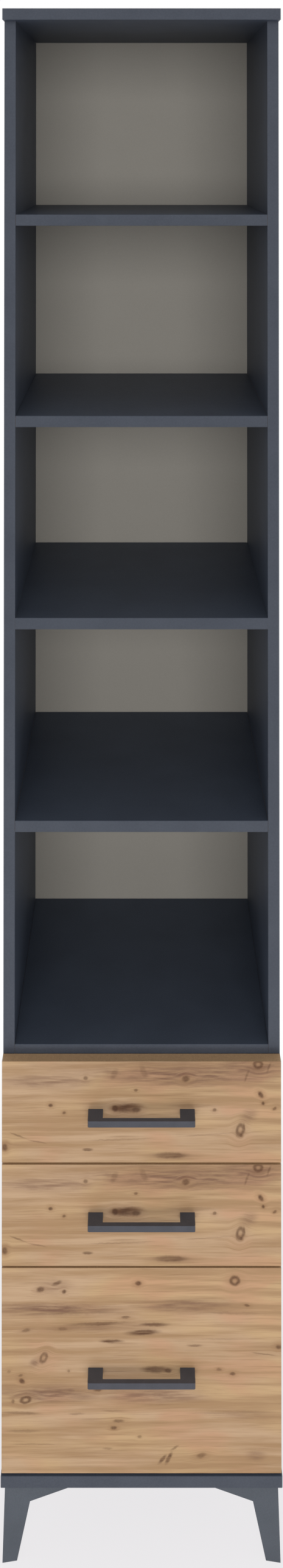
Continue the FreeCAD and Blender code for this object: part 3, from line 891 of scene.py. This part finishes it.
@dataclass(frozen=True)
class Fastener:
    """A small metal fastener, of which the head shows.

    Sizes without a unit are shares: the tip's of the shank's radius, the taper's of the recess's
    mouth, and all others of the head's radius, height or width.
    """

    head_mm: float
    height_mm: float
    drive: Drive
    shank_mm: float
    shank_length_mm: float
    crown: float = 0.55
    segments: int = 24
    recess_depth_mm: float = 1.2
    recess_reach: float = 0.24
    recess_half_width: float = 0.055
    recess_taper: float = 0.6
    tip_radius: float = 0.3
    seat_radius: float = 0.94
    rim_rise: float = 0.12
    shoulder_radius: float = 0.97
    slope_radius: float = 0.82
    slope_fall: float = 0.3
    flat_radius: float = 0.6

    def add_to(self, mesh: bmesh.types.BMesh, seat: Vector, toward: Toward) -> None:
        """Add one fastener to a mesh.

        Args:
            mesh: The mesh being built.
            seat: Where the middle of the head's underside lies.
            toward: The way the head looks.
        """
        turn = Vector(Toward.UP.value).rotation_difference(Vector(toward.value))
        radius = self.head_mm / 2
        neck = self.shank_mm / 2
        top = self.height_mm
        profile = [(neck * self.tip_radius, -self.shank_length_mm), (neck, neck - self.shank_length_mm),
                   (neck, 0.0), (radius * self.seat_radius, 0.0), (radius, top * self.rim_rise),
                   (radius * self.shoulder_radius, top * (1 - self.crown)),
                   (radius * self.slope_radius, top * (1 - self.crown * self.slope_fall)),
                   (radius * self.flat_radius, top)]

        def place(x: float, y: float, z: float) -> bmesh.types.BMVert:
            """Add a point given in millimetres from the seat."""
            return mesh.verts.new(seat + turn @ Vector((x * MM, y * MM, z * MM)))

        # Each ring starts a step short of the X axis, as the outline of the recess does
        angles = [2 * math.pi * step / self.segments for step in range(-1, self.segments - 1)]
        rings = [[place(ring_radius * math.cos(angle), ring_radius * math.sin(angle), level)
                  for angle in angles] for ring_radius, level in profile]
        for lower, upper in zip(rings, rings[1:]):
            for step in range(self.segments):
                after = (step + 1) % self.segments
                mesh.faces.new((lower[step], lower[after], upper[after], upper[step]))
        mesh.faces.new(list(reversed(rings[0])))
        if self.drive is Drive.HAMMER:
            mesh.faces.new(rings[-1])
        else:
            self.cut_cross(mesh, rings[-1], place)

    def cut_cross(self, mesh: bmesh.types.BMesh, rim: list[bmesh.types.BMVert],
                  place: Callable[[float, float, float], bmesh.types.BMVert]) -> None:
        """Close the head with a cross recess.

        Args:
            mesh: The mesh being built.
            rim: The innermost ring of the head.
            place: Adds a point given in millimetres from the seat.
        """
        arm = self.head_mm * self.recess_reach
        half = self.head_mm * self.recess_half_width
        taper = self.recess_taper
        quarter = [(arm, -half), (arm, half), (half, half)]
        outline = []
        for turns in range(4):
            cosine, sine = math.cos(turns * math.pi / 2), math.sin(turns * math.pi / 2)
            outline += [(x * cosine - y * sine, x * sine + y * cosine) for x, y in quarter]
        mouth = [place(x, y, self.height_mm) for x, y in outline]
        floor = [place(x * taper, y * taper, self.height_mm - self.recess_depth_mm) for x, y in outline]
        share = self.segments // len(outline)
        for step in range(self.segments):
            after = (step + 1) % self.segments
            corners = [rim[step], rim[after], mouth[after // share], mouth[step // share]]
            mesh.faces.new(list(dict.fromkeys(corners)))
        for step in range(len(outline)):
            after = (step + 1) % len(outline)
            mesh.faces.new((mouth[step], mouth[after], floor[after], floor[step]))
        mesh.faces.new(floor)

    def piece(self, name: str, body: str, toward: Toward, seats: Sequence[Vector]) -> Object:
        """Make a group of these fasteners as one piece.

        Args:
            name: The piece's name.
            body: The CAD body that it rides on.
            toward: The way the heads look.
            seats: Where the middle of each head's underside lies.

        Returns:
            The new piece.
        """
        mesh = bmesh.new()
        for seat in seats:
            self.add_to(mesh, seat, toward)
        bmesh.ops.recalc_face_normals(mesh, faces=mesh.faces)
        data = bpy.data.meshes.new(name)
        mesh.to_mesh(data)
        mesh.free()
        data.shade_smooth()
        data.set_sharp_from_angle(angle=math.radians(CREASE_DEG))
        data.materials.append(ZINC_PLATE.material())
        made = new_object(name, data)
        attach(made, body)
        LOG.info("%s: %d on %s", name, len(seats), body)
        return made


@dataclass
class Carcass:
    """Boards of the case, its back panel and the pins that hold it to the shelves."""

    shelves: tuple[str, ...] = ("shelf_1", "shelf_2", "shelf_3", "shelf_4", "drawer_deck")
    caps: tuple[str, ...] = ("top_panel", "bottom_panel")
    sides: tuple[str, ...] = ("left_side_panel", "right_side_panel")
    arris_mm: float = 0.7
    pin: Fastener = Fastener(head_mm=5.5, height_mm=0.9, drive=Drive.HAMMER, shank_mm=1.6,
                             shank_length_mm=12.0)
    pins_across_mm: tuple[float, ...] = (-150.0, -50.0, 50.0, 150.0)

    def dress(self) -> None:
        """Face the boards, band the edges that show and leave the rest sawn."""
        for names, broad, banded, core in (
                (self.shelves, UPRIGHT, (Toward.FRONT,), LEVEL_CHIPBOARD),
                (self.caps, UPRIGHT, (*SIDEWAYS, Toward.FRONT), LEVEL_CHIPBOARD),
                (self.sides, SIDEWAYS, (Toward.FRONT,), UPRIGHT_CHIPBOARD)):
            faces = {**dict.fromkeys(broad, MELAMINE), **dict.fromkeys(banded, EDGE_BAND)}
            for name in names:
                soften(face_board(name, faces, core), self.arris_mm)
        face_board("back_panel", {Toward.FRONT: GREY_FIBREBOARD}, BARE_FIBREBOARD)
        coat("carcass_dowels", BEECH)

    def build(self) -> None:
        """Pin the back panel to the rear edge of each shelf."""
        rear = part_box("back_panel")[1].y
        seats = []
        for name in self.shelves:
            low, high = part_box(name)
            middle = (low.z + high.z) / 2
            seats += [Vector((x * MM, rear, middle)) for x in self.pins_across_mm]
        self.pin.piece("back_panel_pins", "carcass", Toward.REAR, seats)


@dataclass
class Legs:
    """Moulded corner legs and the screws in their plates."""

    names: tuple[str, ...] = ("front_left_leg", "front_right_leg", "rear_left_leg", "rear_right_leg")
    arris_mm: float = 0.8
    plate_thickness_mm: float = 3.0
    screw: Fastener = Fastener(head_mm=7.0, height_mm=2.4, drive=Drive.CROSS, shank_mm=3.5,
                               shank_length_mm=13.0)
    screw_places_mm: tuple[tuple[float, float], ...] = (
        (43.0, 11.0), (11.0, 43.0), (24.0, 11.0), (11.0, 24.0))

    def dress(self) -> None:
        """Give the legs their moulded plastic."""
        for name in self.names:
            soften(coat(name, LEG_PLASTIC), self.arris_mm)

    def build(self) -> None:
        """Screw each leg's plate to the bottom panel from below."""
        for name in self.names:
            low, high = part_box(name)
            inward_x = 1 if low.x + high.x < 0 else -1
            inward_y = 1 if low.y + high.y < 0 else -1
            corner_x = low.x if inward_x > 0 else high.x
            corner_y = low.y if inward_y > 0 else high.y
            level = high.z - self.plate_thickness_mm * MM
            seats = [Vector((corner_x + inward_x * x * MM, corner_y + inward_y * y * MM, level))
                     for x, y in self.screw_places_mm]
            self.screw.piece(f"{name}_screws", "carcass", Toward.DOWN, seats)


@dataclass
class Drawer:
    """One drawer with its handle and runners."""

    number: int
    marks: Marks
    front_arris_mm: float = 0.8
    handle_arris_mm: float = 0.9
    board_arris_mm: float = 0.5
    rail_screw: Fastener = Fastener(head_mm=7.0, height_mm=0.5, drive=Drive.CROSS, crown=0.9,
                                    shank_mm=3.0, shank_length_mm=10.0, recess_depth_mm=0.4)
    handle_screw: Fastener = Fastener(head_mm=8.0, height_mm=2.5, drive=Drive.CROSS, shank_mm=4.0,
                                      shank_length_mm=25.9)
    rail_steel_mm: float = 1.2
    cabinet_screws_mm: tuple[float, ...] = (37.0, 165.0, 293.0)
    drawer_screws_mm: tuple[float, ...] = (28.0, 170.0, 300.0)
    drawer_screw_rise_mm: float = 8.0
    handle_pitch_mm: float = 128.0

    @property
    def body(self) -> str:
        """Name of the drawer's CAD body."""
        return f"drawer_{self.number}"

    def node(self, part: str) -> str:
        """Name of one of the drawer's nodes."""
        return f"{self.body}_{part}"

    def dress(self) -> None:
        """Give the front its decor and every other piece its finish."""
        upper_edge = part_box(self.node("front"))[1].z
        # Printed paper under a matt lacquer: the warm flat face of old knotty pine, grain across
        decor = PineDecor(f"pine_decor_printed_{self.number}", "#B7997A", 0.5, ior=1.5, specular=0.3,
                          marks=self.marks, upper_edge=upper_edge)
        faces = {**dict.fromkeys(LENGTHWAYS, decor), **dict.fromkeys((*SIDEWAYS, *UPRIGHT), PINE_BAND)}
        soften(face_board(self.node("front"), faces, CROSSWAYS_CHIPBOARD), self.front_arris_mm)
        for part, broad, core in (("left_side", SIDEWAYS, UPRIGHT_CHIPBOARD),
                                  ("right_side", SIDEWAYS, UPRIGHT_CHIPBOARD),
                                  ("back", LENGTHWAYS, CROSSWAYS_CHIPBOARD)):
            faces = dict.fromkeys((*broad, Toward.UP), DRAWER_BOARD)
            soften(face_board(self.node(part), faces, core), self.board_arris_mm)
        face_board(self.node("bottom"), {Toward.UP: GREY_FIBREBOARD}, BARE_FIBREBOARD)
        soften(coat(self.node("handle"), HANDLE_LACQUER), self.handle_arris_mm)
        for side in Side:
            for owner in ("drawer", "cabinet"):
                coat(self.node(f"{side.word}_{owner}_rail"), RUNNER_ENAMEL)
        for end in ("front", "rear"):
            coat(self.node(f"{end}_rollers"), NYLON)

    def build(self) -> None:
        """Drive the screws of the runners and of the handle."""
        for side in Side:
            self.screw_rails(side)
        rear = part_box(self.node("front"))[1].y
        low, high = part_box(self.node("handle"))
        middle = (low.z + high.z) / 2
        off = self.handle_pitch_mm * MM / 2
        seats = [Vector((x, rear, middle)) for x in (-off, off)]
        screws = self.handle_screw.piece(self.node("handle_cross_screws"), self.body, Toward.REAR, seats)
        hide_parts(self.node("handle_screws"))

    def screw_rails(self, side: Side) -> None:
        """Screw one side's rails to the carcass and to the drawer box.

        Args:
            side: The side of the case.
        """
        inward, outward = side.value
        low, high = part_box(self.node(f"{side.word}_cabinet_rail"))
        box_low, box_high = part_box(self.node(f"{side.word}_side"))
        wall, box_side = (low.x, box_low.x) if side is Side.LEFT else (high.x, box_high.x)
        middle = (low.z + high.z) / 2
        level = box_low.z + self.drawer_screw_rise_mm * MM
        for owner, body, start, z, toward, places in (
                ("cabinet", "carcass", wall, middle, inward, self.cabinet_screws_mm),
                ("drawer", self.body, box_side, level, outward, self.drawer_screws_mm)):
            x = start + toward.value[0] * self.rail_steel_mm * MM
            seats = [Vector((x, low.y + y * MM, z)) for y in places]
            self.rail_screw.piece(self.node(f"{side.word}_{owner}_rail_screws"), body, toward, seats)


@dataclass(frozen=True)
class Lamp:
    """A soft rectangular studio lamp that looks at a point, and isn't seen or mirrored itself."""

    name: str
    place: tuple[float, float, float]
    target: tuple[float, float, float]
    width: float
    height: float
    power: float

    def build(self) -> None:
        """Hang the lamp."""
        data = bpy.data.lights.new(self.name, "AREA")
        data.shape = "RECTANGLE"
        data.size = self.width
        data.size_y = self.height
        data.energy = self.power
        lamp = new_object(self.name, data)
        lamp.location = self.place
        lamp.rotation_mode = "QUATERNION"
        lamp.rotation_quaternion = (Vector(self.target) - Vector(self.place)).to_track_quat("-Z", "Y")
        lamp.visible_camera = False
        lamp.visible_glossy = False


@dataclass
class Studio:
    """Pale floor, even room light, and soft lamps in front and behind."""

    floor_reach: float = 12.0
    floor_parts: int = 4
    floor_tone: str = "#E6E5E6"
    # Painted shade: the floor's seen colour near the object, greyer than the white further off
    painted_shade_tone: str = "#F6F4F6"
    far_tone: str = "#FFFFFF"
    near_radius: float = 0.4
    far_radius: float = 1.0
    shadow_share: float = 0.18
    room_light: float = 0.5
    lamps: tuple[Lamp, ...] = (
        Lamp("front_lamp", (0.0, -4.4, 2.2), (0.0, -0.2, 1.3), 3.0, 2.0, 85.0),
        Lamp("low_lamp", (0.0, -1.4, 0.18), (0.0, -0.2, 0.1), 1.2, 0.3, 4.8),
        Lamp("rear_lamp", (0.0, 4.4, 2.2), (0.0, 0.2, 1.3), 3.0, 2.0, 60.0),
    )

    def build(self) -> None:
        """Make the floor, the room light and the lamps."""
        bpy.context.scene.view_settings.view_transform = "Standard"
        self.build_floor()
        self.build_room()
        for lamp in self.lamps:
            lamp.build()
        LOG.info("studio: floor, room light, %d lamps", len(self.lamps))

    def seen_directly(self, tree: NodeTree) -> NodeSocket:
        """Tell rays that show the studio from rays that light the bookcase.

        Args:
            tree: The node tree of the floor or of the room.

        Returns:
            One for rays from the camera, mirrors and glass, and zero for light.
        """
        path = add_node(tree, "ShaderNodeLightPath")
        first = add_node(tree, "ShaderNodeMath", {
            0: path.outputs["Is Camera Ray"], 1: path.outputs["Is Glossy Ray"]}, operation="MAXIMUM")
        both = add_node(tree, "ShaderNodeMath", {
            0: first.outputs["Value"], 1: path.outputs["Is Transmission Ray"]}, operation="MAXIMUM")
        return both.outputs["Value"]

    def build_floor(self) -> None:
        """Lay a pale floor, greyer near the object by a painted shade, that keeps a faint share of its
        real shadow there and is white further off.
        """
        mesh = bmesh.new()
        bmesh.ops.create_grid(mesh, x_segments=self.floor_parts, y_segments=self.floor_parts,
                              size=self.floor_reach)
        data = bpy.data.meshes.new("studio_floor")
        mesh.to_mesh(data)
        mesh.free()
        paint = bpy.data.materials.new("studio_floor_matt_paint")
        tree = empty_tree(paint)
        place = add_node(tree, "ShaderNodeTexCoord").outputs["Object"]
        off = add_node(tree, "ShaderNodeVectorMath", {0: place}, operation="LENGTH")
        far = add_node(tree, "ShaderNodeMapRange", {
            "Value": off.outputs["Value"], "From Min": self.near_radius, "From Max": self.far_radius},
            interpolation_type="SMOOTHSTEP")
        # The seen floor colour: a painted shade near the object that fades to white between the two radii
        tone = add_node(tree, "ShaderNodeMix", {
            MIX_FACTOR: far.outputs["Result"], MIX_A: linear(self.painted_shade_tone),
            MIX_B: linear(self.far_tone)}, data_type="RGBA")
        glow_share = add_node(tree, "ShaderNodeMapRange", {
            "Value": far.outputs["Result"], "To Min": 1 - self.shadow_share, "To Max": 1.0})
        shown = add_node(tree, "ShaderNodeMath", {
            0: self.seen_directly(tree), 1: glow_share.outputs["Result"]}, operation="MULTIPLY")
        matt = add_node(tree, "ShaderNodeBsdfDiffuse", {"Color": linear(self.floor_tone)})
        glow = add_node(tree, "ShaderNodeEmission", {"Color": tone.outputs[MIX_COLOUR]})
        both = add_node(tree, "ShaderNodeMixShader", {
            "Fac": shown.outputs["Value"], 1: matt.outputs["BSDF"], 2: glow.outputs["Emission"]})
        add_node(tree, "ShaderNodeOutputMaterial", {"Surface": both.outputs["Shader"]})
        data.materials.append(paint)
        new_object("studio_floor", data)

    def build_room(self) -> None:
        """Light the room evenly, and show it white where it is seen."""
        world = bpy.data.worlds.new("studio_room")
        tree = empty_tree(world)
        light = add_node(tree, "ShaderNodeBackground", {
            "Color": linear(self.far_tone), "Strength": self.room_light})
        white = add_node(tree, "ShaderNodeBackground", {"Color": linear(self.far_tone), "Strength": 1.0})
        both = add_node(tree, "ShaderNodeMixShader", {
            "Fac": self.seen_directly(tree), 1: light.outputs["Background"],
            2: white.outputs["Background"]})
        add_node(tree, "ShaderNodeOutputWorld", {"Surface": both.outputs["Shader"]})
        bpy.context.scene.world = world


@dataclass(frozen=True)
class PhotoCamera:
    """A camera in front of the upper shelves, tipped up a little, its view shifted down to the floor."""

    image_height_px: float = 2576.0
    focal_px: float = 2140.3
    principal_row_px: float = 231.8
    height: float = 1.953
    distance: float = 2.0213
    pitch_deg: float = 0.628
    sensor_mm: float = 36.0

    def build(self) -> None:
        """Set up the scene's camera."""
        data = bpy.data.cameras.new("photo_camera")
        data.sensor_fit = "AUTO"
        data.sensor_width = self.sensor_mm
        data.lens = self.sensor_mm * self.focal_px / self.image_height_px
        data.shift_y = (self.principal_row_px - self.image_height_px / 2) / self.image_height_px
        camera = new_object("photo_camera", data)
        camera.location = (0.0, -self.distance, self.height)
        camera.rotation_euler = (math.radians(90 + self.pitch_deg), 0.0, 0.0)
        bpy.context.scene.camera = camera


def main() -> None:
    """Build the studio and dress the bookcase, one sub-assembly after another."""
    logging.basicConfig(level=logging.INFO, format="%(name)s: %(message)s")
    PhotoCamera().build()
    Studio().build()
    drawers = [Drawer(1, UPPER_MARKS), Drawer(2, UPPER_MARKS), Drawer(3, LOWER_MARKS)]
    for assembly in (Carcass(), Legs(), *drawers):
        assembly.dress()
        assembly.build()


if __name__ == "__main__":
    main()
